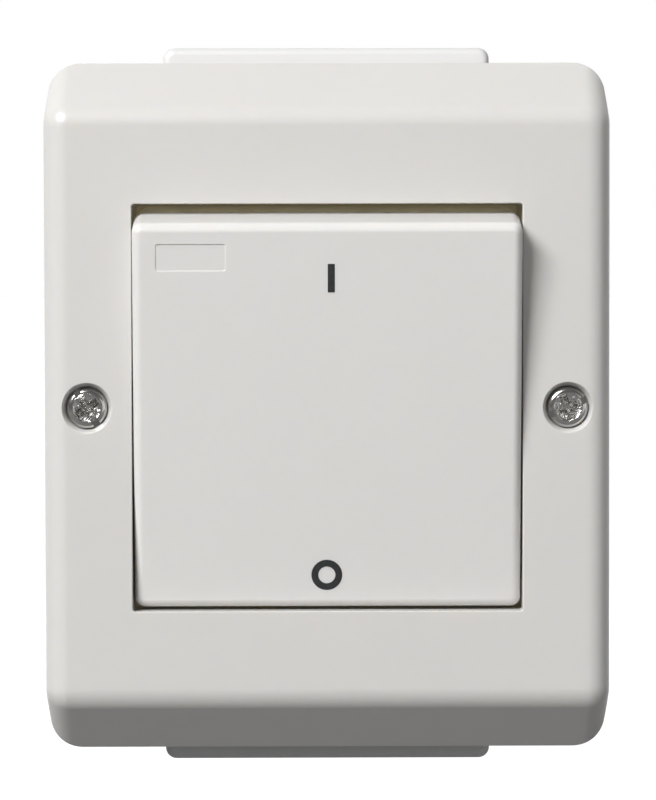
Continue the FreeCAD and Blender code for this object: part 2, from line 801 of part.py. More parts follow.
def make_support_plate():
    plate = slab(plate_width, plate_height, plate_y, housing_y, plate_corner_radius)
    tools = [slab(bridge_window_width, bridge_window_height, plate_y - PAST, housing_y + PAST,
                  housing_radius)]
    for side in (-1, 1):
        notch_radius = insert_flange_radius + recess_wall + boss_notch_clearance
        tools.append(rod(notch_radius, plate_y - PAST, housing_y + PAST, side * cover_screw_x))
        for level in (-1, 1):
            tools.append(rod(access_radius, plate_y - PAST, housing_y + PAST, side * pole_x,
                             level * terminal_z))
            tools.append(rod(small_screw_radius + thread_clearance, plate_y - PAST, housing_y + PAST,
                             side * plate_screw_x, level * plate_screw_z))
    for level in (-1, 1):
        tools.append(slab(access_slot_width, 2 * access_slot_height, plate_y - PAST, housing_y + PAST,
                          0, 0, level * plate_height / 2))
    for x, z in bridge_screws():
        tools.append(rod(small_screw_radius + thread_clearance, plate_y - PAST, housing_y + PAST, x, z))
    for tool in tools:
        plate = plate.cut(tool)
    return plate


def make_small_screw(x, y, z):
    """A pan-head screw whose head seats on a face at depth y."""
    screw = slotted_head(small_head_radius, small_head_height, small_head_height / 2, small_slot_width,
                         small_slot_depth, small_screw_radius, small_screw_length)
    screw.translate(V(x, y, z))
    return screw


# Elastomer boot

def rounded_ring(width, height, radius, y):
    """A rounded rectangle as a wire at depth y."""
    plate = slab(width, height, y, y + PAST, radius)
    for face in plate.Faces:
        if abs(face.CenterOfMass.y - y) < NEAR:
            return face.OuterWire


def boot_form(inset, base_y, peak_y):
    """The tapering hood of the boot, from its foot to its flat peak."""
    base_width = opening_width - 2 * boot_base_gap - 2 * inset
    base_height = opening_height - 2 * boot_base_gap - 2 * inset
    wires = [
        rounded_ring(base_width, base_height, boot_corner_radius, base_y),
        rounded_ring(boot_peak_width - 2 * inset, boot_peak_height - 2 * inset, boot_corner_radius, peak_y),
    ]
    return Part.makeLoft(wires, True, True)


def make_boot():
    ear_front = pivot_y - pin_radius - ear_wall
    peak_inner_y = ear_front - boot_peak_clearance
    peak_outer_y = peak_inner_y - boot_thickness
    flange = slab(boot_width, boot_height, collar_end_y, clamp_y, flange_corner_radius)
    hood = boot_form(0, clamp_y, peak_outer_y)
    boot = joined([flange, hood])
    boot = boot.cut(boot_form(boot_thickness, clamp_y, peak_inner_y))
    lip_y = (peak_inner_y + peak_outer_y) / 2
    lip_z = (lip_y - pivot_y) * math.sin(math.radians(rocker_tilt))
    lip_width = neck_width + 2 * boot_lip_clearance
    lip_height = neck_thickness + 2 * boot_lip_clearance
    return boot.cut(slab(lip_width, lip_height, peak_outer_y - PAST, peak_inner_y + PAST, 0, 0, lip_z))


def make_clamp_frame():
    frame = slab(boot_width, boot_height, clamp_y, plate_y, flange_corner_radius)
    return frame.cut(slab(boot_width - 2 * clamp_width, boot_height - 2 * clamp_width, clamp_y - PAST,
                          plate_y + PAST, flange_corner_radius - boot_thickness))


def make_nodes():
    nodes = {
        "back_box": make_box(),
        "box_seal": make_box_seal(),
        "cover": make_cover(),
        "rocker_plate": make_rocker(),
        "rocker_boot": make_boot(),
        "boot_clamp_frame": make_clamp_frame(),
        "support_plate": make_support_plate(),
        "mechanism_housing": make_housing(),
        "bearing_bridge": make_bridge(),
        "actuator": make_actuator(),
    }
    for side in (-1, 1):
        name = side_name(side)
        nodes["cover_screw_" + name] = make_cover_screw(side)
        nodes["screw_seal_" + name] = make_screw_seal(side)
        nodes["thread_insert_" + name] = make_insert(side)
        nodes["plunger_" + name] = make_plunger(side)
        nodes["plunger_spring_" + name] = make_spring(side)
        nodes["contact_rocker_" + name] = make_contact_rocker(side)
        nodes["pivot_contact_" + name] = make_pivot_contact(side)
        nodes["fixed_contact_" + name] = make_fixed_contact(side)
        x, z = bridge_screws()[0 if side < 0 else 1]
        nodes["bridge_screw_" + name] = make_small_screw(x, bridge_y, z)
        for level in (-1, 1):
            place = level_name(level) + "_" + name
            nodes["support_screw_" + place] = make_small_screw(side * plate_screw_x, plate_y,
                                                               level * plate_screw_z)
            nodes["terminal_clamp_" + place] = make_terminal_clamp(side, level)
            nodes["terminal_screw_" + place] = make_terminal_screw(side, level)
            nodes["entry_grommet_" + place] = make_grommet(side, level)
    return nodes


def write_parts():
    os.makedirs("parts", exist_ok=True)
    for name, shape in make_nodes().items():
        shape.exportStep("parts/" + name + ".step")


write_parts()
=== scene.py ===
import json
import math

import bmesh
import bpy
from mathutils import Matrix, Vector


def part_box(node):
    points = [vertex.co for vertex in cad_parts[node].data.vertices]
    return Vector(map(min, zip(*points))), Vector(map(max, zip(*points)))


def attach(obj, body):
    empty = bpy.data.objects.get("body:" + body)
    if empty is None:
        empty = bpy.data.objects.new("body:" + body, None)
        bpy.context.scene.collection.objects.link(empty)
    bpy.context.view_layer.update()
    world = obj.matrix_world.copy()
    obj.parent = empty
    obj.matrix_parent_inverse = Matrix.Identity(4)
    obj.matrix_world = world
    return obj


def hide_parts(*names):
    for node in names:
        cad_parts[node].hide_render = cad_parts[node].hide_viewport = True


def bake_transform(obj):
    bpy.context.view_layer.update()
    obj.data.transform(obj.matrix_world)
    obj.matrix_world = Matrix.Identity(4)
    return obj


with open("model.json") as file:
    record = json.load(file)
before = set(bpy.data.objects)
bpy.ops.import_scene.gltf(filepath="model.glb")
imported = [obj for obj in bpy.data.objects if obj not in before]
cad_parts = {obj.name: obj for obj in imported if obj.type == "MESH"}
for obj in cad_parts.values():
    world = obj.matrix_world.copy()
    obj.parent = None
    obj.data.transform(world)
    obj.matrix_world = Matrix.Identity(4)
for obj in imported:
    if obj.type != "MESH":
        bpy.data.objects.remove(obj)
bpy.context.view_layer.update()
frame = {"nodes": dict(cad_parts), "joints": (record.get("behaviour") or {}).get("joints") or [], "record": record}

# Sizes in metres, with millimetres written as 4.4 * MM
MM = 0.001

# Places taken from the frame
cover_low, cover_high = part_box("cover")
screw_low, screw_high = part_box("cover_screw_right")
seal_low, seal_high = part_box("screw_seal_right")
clamp_low, clamp_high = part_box("boot_clamp_frame")
front_y = cover_low.y
collar_end_y = cover_high.y
half_width = cover_high.x
half_height = cover_high.z
rim_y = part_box("back_box")[0].y
recess_floor_y = seal_high.y
screw_x = (screw_low.x + screw_high.x) / 2
rocker_joint = [joint for joint in frame["joints"] if joint["name"] == "rocker_tilt"][0]
pivot_y = rocker_joint["pos_m"][1]
rest_tilt = math.radians(rocker_joint["range_deg"][1]) / 2

# Cover
cover_wall = 2.6 * MM
outline_radius = 4.65 * MM
end_lean_width = 0.46 * MM
end_lean_height = 8.7 * MM
side_radius = 3.5 * MM
crease_radius = 4.4 * MM
chamfer_height = 7.5 * MM
chamfer_depth = 7.4 * MM
shoulder_radius = 0.3 * MM
opening_width = 55.7 * MM
opening_height = 58.1 * MM
opening_corner_radius = 0.4 * MM
opening_edge_radius = 0.15 * MM
collar_wall = 1.6 * MM
recess_radius = 3.6 * MM
recess_throat_radius = 2.98 * MM
recess_throat_depth = 1.3 * MM
recess_edge_radius = 0.12 * MM
recess_wall = 1.2 * MM
screw_hole_radius = 1.7 * MM
tube_radius = 3.2 * MM

# Rocker, about its pivot
pivot_setback = 10.5 * MM
rocker_width = opening_width - 0.5 * MM
rocker_height = opening_height - 3.1 * MM
rocker_wall = 1.8 * MM
rocker_face_thickness = 2.2 * MM
rocker_wall_depth = 8.0 * MM
rocker_end_draft = math.radians(6.2)
rocker_corner_radius = 1.4 * MM
rocker_edge_radius = 1.3 * MM
plaque_width = 9.85 * MM
plaque_height = 3.75 * MM
plaque_depth = 0.12 * MM
plaque_edge_radius = 0.08 * MM
plaque_corner_radius = 0.3 * MM
plaque_x = -19.3 * MM
plaque_z = 22.8 * MM

# Printed marks
mark_thickness = 0.03 * MM
bar_width = 1.0 * MM
bar_height = 4.05 * MM
bar_corner_radius = 0.05 * MM
bar_x = 0.56 * MM
bar_z = 19.87 * MM
ring_radius = 2.2 * MM
ring_bore_radius = 1.22 * MM
ring_x = -0.13 * MM
ring_z = -22.83 * MM

# Cover screws
head_radius = 2.93 * MM
head_height = 2.1 * MM
head_edge_radius = 0.15 * MM
rim_width = 0.85 * MM
rim_drop = 0.75 * MM
dish_depth = 0.22 * MM
dish_slope_width = 0.35 * MM
slot_width = 1.0 * MM
slot_depth = 0.75 * MM
cross_width = 1.15 * MM
cross_length = 3.9 * MM
cross_depth = 1.5 * MM
cross_foot = 0.45
cup_radius = 0.95 * MM
cup_depth = 1.7 * MM
shaft_radius = 1.45 * MM
shaft_length = 6.0 * MM
edge_wear = 0.06 * MM
wear_angle = math.radians(30.0)
left_screw_turn = math.radians(58.0)
right_screw_turn = math.radians(-23.0)

# Boot
boot_thickness = 1.0 * MM
boot_gap = 0.3 * MM
boot_roll_radius = 1.3 * MM
boot_roll_setback = 0.8 * MM
boot_peak_width = 41.0 * MM
boot_peak_height = 23.0 * MM
boot_peak_lift = 5.1 * MM
boot_corner_radius = 2.0 * MM
boot_flange_radius = 2.6 * MM
boot_lip_width = 16.6 * MM
boot_lip_height = 5.6 * MM
boot_lip_radius = 0.8 * MM
boot_sharp_angle = math.radians(50.0)

# Floor
floor_drop = 110 * MM
floor_size = 60.0
floor_colour = (0.12, 0.12, 0.12)
floor_roughness = 0.9
floor_glow_near = 0.88
floor_glow_near_radius = 0.35
floor_glow_far_radius = 0.65

# Camera, with the lens and the picture's centre in pixels of the photograph
camera_distance = 500 * MM
camera_elevation = math.radians(2.1)
camera_azimuth = math.radians(-0.34)
camera_roll = math.radians(-0.12)
photo_width = 656
photo_height = 800
focal_pixels = 3511.0
centre_u = 327.4
centre_v = 407.75
sensor_height = 24.0
nearest_seen = 0.01
farthest_seen = 50.0

# Room: strengths of its light where white is 1, and how far behind the switch it turns white
white = (1.0, 1.0, 1.0)
room_light = 0.03
front_room = 0.15
room_reach = 0.6

# Lamps: directions from the switch, metres and watts
key_direction = (-0.77, -1.0, 0.88)
key_distance = 1.6
key_width = 0.86
key_height = 0.6
key_power = 34.6
fill_distance = 1.0
fill_width = 0.5
side_direction = (2.0, -1.0, 0.3)
side_power = 1.0
front_direction = (0.6, -1.0, 0.05)
front_power = 0.75
back_direction = (-0.1, 1.0, 0.12)
back_distance = 1.5
back_power = 10.0

# Colours
cream = (0.665, 0.651, 0.631)
# Painted light: the rocker's cream is lighter than the cover's so that its tilted, downturned face, which catches
# less light, shows as bright as the cover
rocker_cream_brightened = (0.74, 0.728, 0.71)
box_white = (0.70, 0.697, 0.693)
seal_black = (0.015, 0.015, 0.015)
boot_ivory = (0.60, 0.53, 0.35)
grommet_grey = (0.27, 0.27, 0.25)
frame_grey = (0.35, 0.35, 0.33)
housing_black = (0.045, 0.048, 0.05)
actuator_ivory = (0.60, 0.58, 0.52)
plate_grey = (0.62, 0.63, 0.62)
head_grey = (0.50, 0.49, 0.475)
zinc_grey = (0.60, 0.61, 0.62)
spring_grey = (0.5, 0.5, 0.5)
brass_yellow = (0.72, 0.53, 0.22)
contact_yellow = (0.75, 0.58, 0.28)
ink_black = (0.022, 0.024, 0.024)

# Surfaces
subsurface_weight = 0.25
subsurface_tint = (1.0, 0.75, 0.45)
subsurface_reach = 1.2 * MM
punch_scale = 1800.0
punch_depth = 0.2 * MM
punch_full_share = 0.9
# Painted light: the boot's rubber emits a faint glow so that it shows brighter in the dark gap round the rocker
boot_painted_glow = 0.105

# Mesh building
PAST = 1.0 * MM
LEAST_RADIUS = 0.02 * MM
SAME_POINT = 0.0005 * MM
SEAM_WIDTH = 0.001 * MM
SHARP_ANGLE = math.radians(35.0)
FLAT_FACE_WEIGHT = 60
ARC_STEPS = 10
EDGE_STEPS = 5
PLAQUE_EDGE_STEPS = 4
SHOULDER_STEPS = 4
OUTLINE_STEPS = 26
DISH_STEPS = 6
RIM_STEPS = 14
SKIRT_STEPS = 6
HOOD_STEPS = 14
ROUND_STEPS = 96


# Plain forms and what is done with them

def add_mesh(name, vertices, faces):
    """A new object from plain lists of vertices and faces, with its faces turned outwards."""
    mesh = bpy.data.meshes.new(name)
    mesh.from_pydata(vertices, [], faces)
    shape = bmesh.new()
    shape.from_mesh(mesh)
    bmesh.ops.remove_doubles(shape, verts=shape.verts, dist=SAME_POINT)
    bmesh.ops.recalc_face_normals(shape, faces=shape.faces)
    shape.to_mesh(mesh)
    shape.free()
    piece = bpy.data.objects.new(name, mesh)
    bpy.context.scene.collection.objects.link(piece)
    return piece


def bands(rings, closed=False):
    """The faces between each ring of points and the next, and from the last to the first where closed."""
    count = len(rings[0])
    faces = []
    for number in range(len(rings) if closed else len(rings) - 1):
        start = number * count
        onward = (number + 1) % len(rings) * count
        for index in range(count):
            after = (index + 1) % count
            faces.append([start + index, start + after, onward + after, onward + index])
    return faces


def skin(name, rings):
    """A closed solid through rings of points that all have the same number of points."""
    count = len(rings[0])
    vertices = [point for ring in rings for point in ring]
    first_end = list(range(count))
    last_end = [(len(rings) - 1) * count + index for index in range(count)]
    return add_mesh(name, vertices, [first_end] + bands(rings) + [last_end])


def arc(radius, start, end, steps):
    """Offsets along an arc between two angles, as (cosine, sine) times the radius."""
    angles = [start + (end - start) * step / steps for step in range(steps + 1)]
    return [(radius * math.cos(angle), radius * math.sin(angle)) for angle in angles]


def rounded_rectangle(width, height, radius, y, x=0.0, z=0.0, steps=ARC_STEPS):
    """A ring of points round a rectangle with rounded corners, at depth y."""
    radius = max(radius, LEAST_RADIUS)
    ring = []
    for quarter in range(4):
        sign_x = 1 if quarter in (0, 3) else -1
        sign_z = 1 if quarter in (0, 1) else -1
        centre_x = x + sign_x * (width / 2 - radius)
        centre_z = z + sign_z * (height / 2 - radius)
        turn = quarter * math.pi / 2
        for along, up in arc(radius, turn, turn + math.pi / 2, steps):
            ring.append((centre_x + along, y, centre_z + up))
    return ring


def lathe(name, profile, steps=ROUND_STEPS):
    """A solid turned about the Y axis from (radius, y) points; radii are above zero."""
    rings = []
    for radius, y in profile:
        ring = []
        for step in range(steps):
            angle = 2 * math.pi * step / steps
            ring.append((radius * math.cos(angle), y, radius * math.sin(angle)))
        rings.append(ring)
    return skin(name, rings)


def block(name, width, height, y0, y1, x=0.0, z=0.0):
    """A plain block for cutting and joining."""
    low = rounded_rectangle(width, height, 0, y0, x, z, 1)
    high = rounded_rectangle(width, height, 0, y1, x, z, 1)
    return skin(name, [low, high])


def combine(piece, tool, operation):
    """Joins a tool to a piece or cuts it away, and removes the tool."""
    change = piece.modifiers.new("combine", "BOOLEAN")
    change.operation = operation
    change.solver = "EXACT"
    change.object = tool
    bpy.context.view_layer.update()
    graph = bpy.context.evaluated_depsgraph_get()
    mesh = bpy.data.meshes.new_from_object(piece.evaluated_get(graph))
    piece.modifiers.clear()
    piece.data = mesh
    bpy.data.objects.remove(tool)


def cut(piece, tool):
    """Cuts a tool away from a piece."""
    combine(piece, tool, "DIFFERENCE")


def join(piece, tool):
    """Joins a tool to a piece."""
    combine(piece, tool, "UNION")


def smooth(piece, sharp_angle=SHARP_ANGLE):
    """Smooth shading that keeps flat faces flat and sharp edges sharp."""
    shape = bmesh.new()
    shape.from_mesh(piece.data)
    bmesh.ops.remove_doubles(shape, verts=shape.verts, dist=SEAM_WIDTH)
    bmesh.ops.dissolve_degenerate(shape, edges=shape.edges, dist=SAME_POINT)
    for edge in shape.edges:
        edge.smooth = len(edge.link_faces) == 2 and edge.calc_face_angle(0.0) < sharp_angle
    for face in shape.faces:
        face.smooth = True
    shape.to_mesh(piece.data)
    shape.free()
    weights = piece.modifiers.new("flat faces first", "WEIGHTED_NORMAL")
    weights.keep_sharp = True
    weights.weight = FLAT_FACE_WEIGHT


def ease(share):
    """A share from nothing to one that starts and ends gently."""
    return share * share * (3 - 2 * share)


def place(piece, body, slot, *replaced):
    """Gives a piece its material and its body, and hides the CAD nodes that it stands for."""
    piece.data.materials.clear()
    piece.data.materials.append(materials[slot])
    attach(piece, body)
    if replaced:
        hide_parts(*replaced)


# Materials

def node_material(name):
    """A new material, with its nodes, its links and its Principled shader."""
    material = bpy.data.materials.new(name)
    material.use_nodes = True
    nodes = material.node_tree.nodes
    links = material.node_tree.links
    shader = nodes["Principled BSDF"]
    return material, nodes, links, shader


def noise(nodes, links, scale, detail, roughness=0.5):
    """A noise texture in the object's own metres."""
    place_node = nodes.new("ShaderNodeTexCoord")
    texture = nodes.new("ShaderNodeTexNoise")
    texture.inputs["Scale"].default_value = scale
    texture.inputs["Detail"].default_value = detail
    texture.inputs["Roughness"].default_value = roughness
    links.new(place_node.outputs["Object"], texture.inputs["Vector"])
    return texture.outputs["Fac"]


def ramp(nodes, links, value, low, high, low_at=0.35, high_at=0.65):
    """A value spread between two colours."""
    spread = nodes.new("ShaderNodeValToRGB")
    spread.color_ramp.elements[0].position = low_at
    spread.color_ramp.elements[0].color = low
    spread.color_ramp.elements[1].position = high_at
    spread.color_ramp.elements[1].color = high
    links.new(value, spread.inputs["Fac"])
    return spread.outputs["Color"]


def spread_range(nodes, links, value, low, high, low_at=0.0, high_at=1.0):
    """A value spread between two numbers."""
    change = nodes.new("ShaderNodeMapRange")
    change.inputs["From Min"].default_value = low_at
    change.inputs["From Max"].default_value = high_at
    change.inputs["To Min"].default_value = low
    change.inputs["To Max"].default_value = high
    links.new(value, change.inputs["Value"])
    return change.outputs["Result"]


def times(nodes, links, one, other):
    """The product of two values."""
    product = nodes.new("ShaderNodeMath")
    product.operation = "MULTIPLY"
    links.new(one, product.inputs[0])
    links.new(other, product.inputs[1])
    return product.outputs["Value"]


def mottle(nodes, links, shader, value, colour, darkest, lightest):
    """Gives the shader a colour that grows darker and lighter with a value."""
    spread = ramp(nodes, links, value, tint(colour, darkest), tint(colour, lightest))
    links.new(spread, shader.inputs["Base Color"])


def bump(nodes, links, shader, height, strength, distance):
    """Puts a height on the shader as a fine bump."""
    relief = nodes.new("ShaderNodeBump")
    relief.inputs["Strength"].default_value = strength
    relief.inputs["Distance"].default_value = distance
    links.new(height, relief.inputs["Height"])
    links.new(relief.outputs["Normal"], shader.inputs["Normal"])


def tint(colour, factor=1.0):
    """A colour, or a lighter or darker one, with full alpha."""
    return tuple(channel * factor for channel in colour) + (1.0,)


def moulded_plastic(name, colour, roughness, subsurface=0.0, variation=0.004, uneven=0.01):
    """Smooth moulded thermoplastic: faint cloudiness, a soft uneven gloss and a very fine skin."""
    material, nodes, links, shader = node_material(name)
    cloud = noise(nodes, links, scale=70.0, detail=3.0)
    mottle(nodes, links, shader, cloud, colour, 1 - variation, 1 + variation)
    sheen = noise(nodes, links, scale=160.0, detail=4.0)
    gloss = spread_range(nodes, links, sheen, roughness - uneven, roughness + uneven)
    links.new(gloss, shader.inputs["Roughness"])
    shader.inputs["IOR"].default_value = 1.5
    shader.inputs["Subsurface Weight"].default_value = subsurface
    shader.inputs["Subsurface Radius"].default_value = subsurface_tint
    shader.inputs["Subsurface Scale"].default_value = subsurface_reach
    fine_skin = noise(nodes, links, scale=2500.0, detail=2.0)
    bump(nodes, links, shader, fine_skin, strength=0.05, distance=0.02 * MM)
    return material


def elastomer(name, colour, glow=0.0):
    """Matt rubber with a faint bloom; a glow is painted light, an emission in the rubber's own colour that stands
    for light coming through thin walls.
    """
    material, nodes, links, shader = node_material(name)
    # Painted light: the emission makes the rubber glow although it is no lamp
    shader.inputs["Emission Color"].default_value = tint(colour)
    shader.inputs["Emission Strength"].default_value = glow
    bloom = noise(nodes, links, scale=220.0, detail=5.0)
    mottle(nodes, links, shader, bloom, colour, darkest=0.85, lightest=1.15)
    links.new(spread_range(nodes, links, bloom, low=0.55, high=0.8), shader.inputs["Roughness"])
    grain = noise(nodes, links, scale=3000.0, detail=2.0)
    bump(nodes, links, shader, grain, strength=0.15, distance=0.03 * MM)
    return material


def metal(name, colour, low_roughness, high_roughness, streak_scale):
    """Bare or plated metal with fine working marks."""
    material, nodes, links, shader = node_material(name)
    shader.inputs["Metallic"].default_value = 1.0
    stain = noise(nodes, links, scale=300.0, detail=4.0)
    mottle(nodes, links, shader, stain, colour, darkest=0.88, lightest=1.05)
    wear = noise(nodes, links, streak_scale, detail=6.0, roughness=0.7)
    links.new(spread_range(nodes, links, wear, low_roughness, high_roughness), shader.inputs["Roughness"])
    bump(nodes, links, shader, wear, strength=0.12, distance=0.04 * MM)
    return material


def punched_metal(name, colour, low_roughness, high_roughness, streak_scale):
    """Metal whose working marks turn coarse inside the drive recesses of the cover screws."""
    material = metal(name, colour, low_roughness, high_roughness, streak_scale)
    nodes = material.node_tree.nodes
    links = material.node_tree.links
    shader = nodes["Principled BSDF"]
    spot = nodes.new("ShaderNodeTexCoord")
    parts = nodes.new("ShaderNodeSeparateXYZ")
    links.new(spot.outputs["Object"], parts.inputs["Vector"])
    either_side = nodes.new("ShaderNodeMath")
    either_side.operation = "ABSOLUTE"
    links.new(parts.outputs["X"], either_side.inputs[0])
    across = nodes.new("ShaderNodeMath")
    across.operation = "SUBTRACT"
    links.new(either_side.outputs["Value"], across.inputs[0])
    across.inputs[1].default_value = screw_x
    flat = nodes.new("ShaderNodeCombineXYZ")
    links.new(across.outputs["Value"], flat.inputs["X"])
    links.new(parts.outputs["Z"], flat.inputs["Z"])
    radius = nodes.new("ShaderNodeVectorMath")
    radius.operation = "LENGTH"
    links.new(flat.outputs["Vector"], radius.inputs[0])
    crest_radius = head_radius - rim_width
    inside = spread_range(nodes, links, radius.outputs["Value"], low=1.0, high=0.0,
                          low_at=punch_full_share * crest_radius, high_at=crest_radius)
    coarse = noise(nodes, links, punch_scale, detail=3.0, roughness=0.6)
    bump(nodes, links, shader, times(nodes, links, coarse, inside), strength=1.0, distance=punch_depth)
    return material


def ink(name, colour):
    """Printed dark marks, slightly uneven."""
    material, nodes, links, shader = node_material(name)
    uneven = noise(nodes, links, scale=1500.0, detail=3.0)
    mottle(nodes, links, shader, uneven, colour, darkest=0.85, lightest=1.2)
    shader.inputs["Roughness"].default_value = 0.45
    return material


materials = {
    "cover_plastic": moulded_plastic("cover_plastic", cream, 0.30, subsurface_weight),
    # Painted light: the rocker's lighter cream makes up for the less light on its tilted face
    "rocker_plastic": moulded_plastic("rocker_plastic", rocker_cream_brightened, 0.30, subsurface_weight),
    "box_plastic": moulded_plastic("box_plastic", box_white, 0.36),
    "seal_rubber": elastomer("seal_rubber", seal_black),
    "boot_rubber": elastomer("boot_rubber", boot_ivory, boot_painted_glow),
    "grommet_rubber": elastomer("grommet_rubber", grommet_grey),
    "frame_plastic": moulded_plastic("frame_plastic", frame_grey, 0.45),
    "housing_plastic": moulded_plastic("housing_plastic", housing_black, 0.5),
    "actuator_plastic": moulded_plastic("actuator_plastic", actuator_ivory, 0.4),
    "plated_steel": metal("plated_steel", plate_grey, 0.3, 0.45, 900.0),
    "screw_steel": punched_metal("screw_steel", head_grey, 0.12, 0.24, 1600.0),
    "zinc_screws": metal("zinc_screws", zinc_grey, 0.25, 0.4, 1400.0),
    "spring_steel": metal("spring_steel", spring_grey, 0.25, 0.4, 2000.0),
    "brass_parts": metal("brass_parts", brass_yellow, 0.25, 0.4, 1200.0),
    "contact_brass": metal("contact_brass", contact_yellow, 0.22, 0.38, 1200.0),
    "mark_ink": ink("mark_ink", ink_black),
}


def dress_cad_nodes():
    """Gives every carried-over piece the material of its slot."""
    slots = {part["node"]: part["material_slot"] for part in frame["record"]["subparts"]}
    for name, piece in frame["nodes"].items():
        piece.data.materials.clear()
        piece.data.materials.append(materials[slots[name]])


# Cover

def cover_section(face_inset, end_inset, rear_y):
    """The (y, z) outline of the cover across its chamfers, with its front and end walls moved inwards."""
    slant = math.hypot(chamfer_height, chamfer_depth)
    slope = math.atan2(chamfer_depth, chamfer_height)
    top = half_height - end_inset
    face_y = front_y + face_inset
    crease_z = half_height - chamfer_height - face_inset * (slant - chamfer_height) / chamfer_depth
    shoulder_y = face_y + (top - crease_z) * chamfer_depth / chamfer_height
    crease = crease_radius - face_inset
    crease_reach = crease * math.tan(slope / 2)
    shoulder_reach = shoulder_radius * math.tan((math.pi / 2 - slope) / 2)
    upper = []
    for along, up in arc(crease, 0, slope, ARC_STEPS):
        upper.append((face_y + crease - along, crease_z - crease_reach + up))
    for along, up in arc(shoulder_radius, slope, math.pi / 2, SHOULDER_STEPS):
        upper.append((shoulder_y + shoulder_reach - along, top - shoulder_radius + up))
    upper.append((rear_y, top))
    lower = [(y, -z) for y, z in reversed(upper)]
    return lower + upper


def end_drop(offset, radius):
    """How far the outline's end lies within the full height, at an offset inwards from its side.

    From the side a short leaning line leads into the rounded corner.
    """
    if offset < end_lean_width:
        return end_lean_height + (radius - end_lean_height) * offset / end_lean_width
    left = max(radius + end_lean_width - offset, 0.0)
    return radius - math.sqrt(max(radius * radius - left * left, 0.0))


def cover_form(name, inset, rear_y):
    """The cover's outer form moved inwards by an inset, through sections from one side to the other.

    Towards each side the end walls follow the outline's corners, and the front and the chamfers
    draw back along the rounding of the side edges.
    """
    corner = outline_radius - inset
    roll = side_radius - inset
    rings = []
    for side in (-1, 1):
        offsets = [(corner + end_lean_width) * (1 - math.sin(math.pi / 2 * step / OUTLINE_STEPS))
                   for step in range(OUTLINE_STEPS + 1)]
        for offset in reversed(offsets) if side < 0 else offsets:
            beyond = max(roll - offset, 0.0)
            drawn_back = roll - math.sqrt(max(roll * roll - beyond * beyond, 0.0))
            section = cover_section(inset + drawn_back, inset + end_drop(offset, corner), rear_y)
            rings.append([(side * (half_width - inset - offset), y, z) for y, z in section])
    return skin(name, rings)


def flared_mouth(width, height, corner_radius, edge_radius, face_y, steps, x=0.0, z=0.0):
    """The first rings of a cutting form, which narrow to its size over the rounding of a face's edge."""
    outlines = [(edge_radius, face_y - PAST)]
    for back, out in arc(edge_radius, 0, math.pi / 2, steps):
        outlines.append((edge_radius - out, face_y + edge_radius - back))
    return [rounded_rectangle(width + 2 * flare, height + 2 * flare, corner_radius + flare, y, x, z)
            for flare, y in outlines]


def rocker_opening(name, rear_y):
    """The cutting form of the rocker opening."""
    rings = flared_mouth(opening_width, opening_height, opening_corner_radius, opening_edge_radius,
                         front_y, EDGE_STEPS)
    rings.append(rounded_rectangle(opening_width, opening_height, opening_corner_radius, rear_y))
    return skin(name, rings)


def screw_recess(name):
    """The cutting form of a screw recess: rounded mouth, tapering wall, throat and screw hole."""
    taper = math.atan2(recess_radius - recess_throat_radius, recess_throat_depth)
    mouth = recess_radius + recess_edge_radius * (1 - math.sin(taper)) / math.cos(taper)
    profile = [(mouth, front_y - PAST)]
    for back, out in arc(recess_edge_radius, 0, math.pi / 2 - taper, EDGE_STEPS):
        profile.append((mouth - out, front_y + recess_edge_radius - back))
    profile.append((recess_throat_radius, front_y + recess_throat_depth))
    profile.append((recess_throat_radius, recess_floor_y))
    profile.append((screw_hole_radius, recess_floor_y))
    profile.append((screw_hole_radius, rim_y + PAST))
    return lathe(name, profile)


def make_cover():
    """The hollow cover with its collar round the opening and its two screw recesses."""
    cover = cover_form("cover_shell", 0.0, rim_y)
    cut(cover, cover_form("tool", cover_wall, rim_y + PAST))
    collar_front = front_y + cover_wall / 2
    join(cover, skin("tool", [
        rounded_rectangle(opening_width + 2 * collar_wall, opening_height + 2 * collar_wall,
                          opening_corner_radius + collar_wall, y)
        for y in (collar_front, collar_end_y)]))
    post_radius = recess_radius + recess_wall
    post_end_y = recess_floor_y + recess_wall
    for side in (-1, 1):
        post = lathe("tool", [(post_radius, collar_front), (post_radius, post_end_y),
                              (tube_radius, post_end_y), (tube_radius, rim_y)])
        post.location.x = side * screw_x
        join(cover, post)
    cut(cover, rocker_opening("tool", collar_end_y + PAST))
    for side in (-1, 1):
        recess = screw_recess("tool")
        recess.location.x = side * screw_x
        cut(cover, recess)
    smooth(cover)
    place(cover, "base", "cover_plastic", "cover")


# Rocker, modelled level about its pivot and then tilted into its rest place

def rocker_ring(inset, depth):
    """The rocker's outline at a depth behind its face, moved inwards by an inset.

    The end walls lean out towards the back, and a rounding reaches less far along them.
    """
    width = rocker_width - 2 * inset
    end_inset = inset * math.tan(math.pi / 4 - rocker_end_draft / 2)
    height = rocker_height + 2 * math.tan(rocker_end_draft) * depth - 2 * end_inset
    return rounded_rectangle(width, height, rocker_corner_radius - inset, depth - pivot_setback)


def tilt_to_rest(piece):
    """Moves a piece modelled about the pivot into the rocker's place at rest."""
    turn = Matrix.Rotation(rest_tilt, 4, "X")
    piece.data.transform(Matrix.Translation((0, pivot_y, 0)) @ turn)


